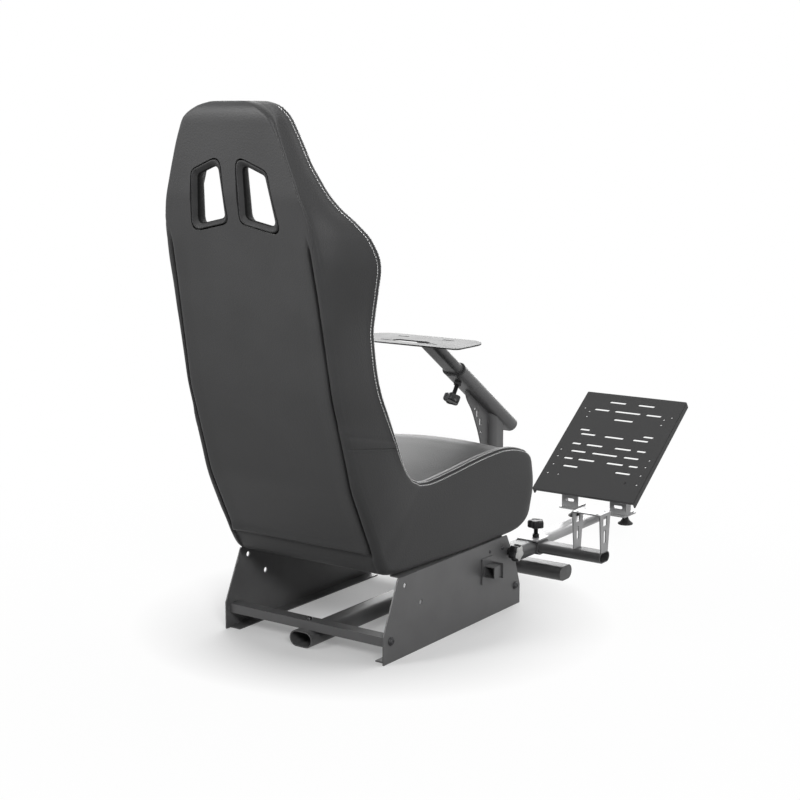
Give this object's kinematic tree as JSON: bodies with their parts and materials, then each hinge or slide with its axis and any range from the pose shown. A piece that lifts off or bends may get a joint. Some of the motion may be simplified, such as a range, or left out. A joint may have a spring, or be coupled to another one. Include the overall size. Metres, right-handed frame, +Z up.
{
  "type": "sim racing cockpit",
  "caption": "Sim racing cockpit: fixed bucket seat on a sheet-steel base with telescoping wheel column, sliding tilting pedal plate and side shifter arm.",
  "frame": {"origin": "on the floor under the middle of the base tube, in the centre plane of the seat", "axes": "+X to the sitter's right, +Y forward to the pedals, +Z up"},
  "size_m": [0.5381, 1.7059, 1.092],
  "materials": {
    "black_coat": "fine matt powder coat",
    "black_plastic": "moulded matt",
    "knob_plastic": "moulded satin",
    "grey_plastic": "moulded matt",
    "foot_rubber": "matt",
    "seat_leather": "fine grained, satin",
    "panel_leather": "fine grained, matt"
  },
  "bodies": {
    "frame": {"right_side_plate": "black_coat", "left_side_plate": "black_coat", "rear_cross_bar": "black_coat", "front_cross_bar": "black_coat", "base_tube": "black_coat", "base_bushing": "black_plastic", "right_outrigger": "black_coat", "left_outrigger": "black_coat", "right_outrigger_cap": "grey_plastic", "left_outrigger_cap": "grey_plastic", "column_post": "black_coat", "column_gusset": "black_coat", "column_tube": "black_coat", "column_end_cap": "black_plastic", "column_bushing": "black_plastic", "column_knob": "knob_plastic", "shifter_support": "black_coat", "shifter_sleeve": "black_coat", "shifter_clamp": "black_coat", "shifter_knob": "knob_plastic", "side_socket": "black_coat", "side_knob": "knob_plastic", "back_panel": "panel_leather", "seat_base": "seat_leather", "seat_back": "seat_leather", "seat_head": "seat_leather", "right_back_bolster": "seat_leather", "left_back_bolster": "seat_leather", "right_harness_bezel": "black_plastic", "left_harness_bezel": "black_plastic"},
    "wheel_carrier": {"wheel_tube": "black_coat", "wheel_plate": "black_coat"},
    "pedal_carrier": {"pedal_tube": "black_coat", "pedal_bridge": "black_coat", "right_pedal_upright": "black_coat", "left_pedal_upright": "black_coat", "right_pedal_foot": "foot_rubber", "left_pedal_foot": "foot_rubber"},
    "pedal_board": {"pedal_plate": "black_coat"},
    "shifter_carrier": {"shifter_arm": "black_coat", "shifter_inner_leg": "black_coat", "shifter_outer_leg": "black_coat", "shifter_top_plate": "black_coat"}
  },
  "joints": [
    {"name": "wheel_slide", "type": "slide", "parent": "frame", "child": "wheel_carrier", "axis": [0, -0.8192, 0.5736], "range_m": [-0.06, 0.1]},
    {"name": "pedal_slide", "type": "slide", "parent": "frame", "child": "pedal_carrier", "axis": [0, 1, 0], "range_m": [-0.15, 0.1]},
    {"name": "pedal_tilt", "type": "hinge", "parent": "pedal_carrier", "child": "pedal_board", "pos_m": [0, 0.816, 0.112], "axis": [1, 0, 0], "range_deg": [-12, 12]},
    {"name": "shifter_slide", "type": "slide", "parent": "frame", "child": "shifter_carrier", "axis": [1, 0, 0], "range_m": [-0.05, 0.02]}
  ]
}
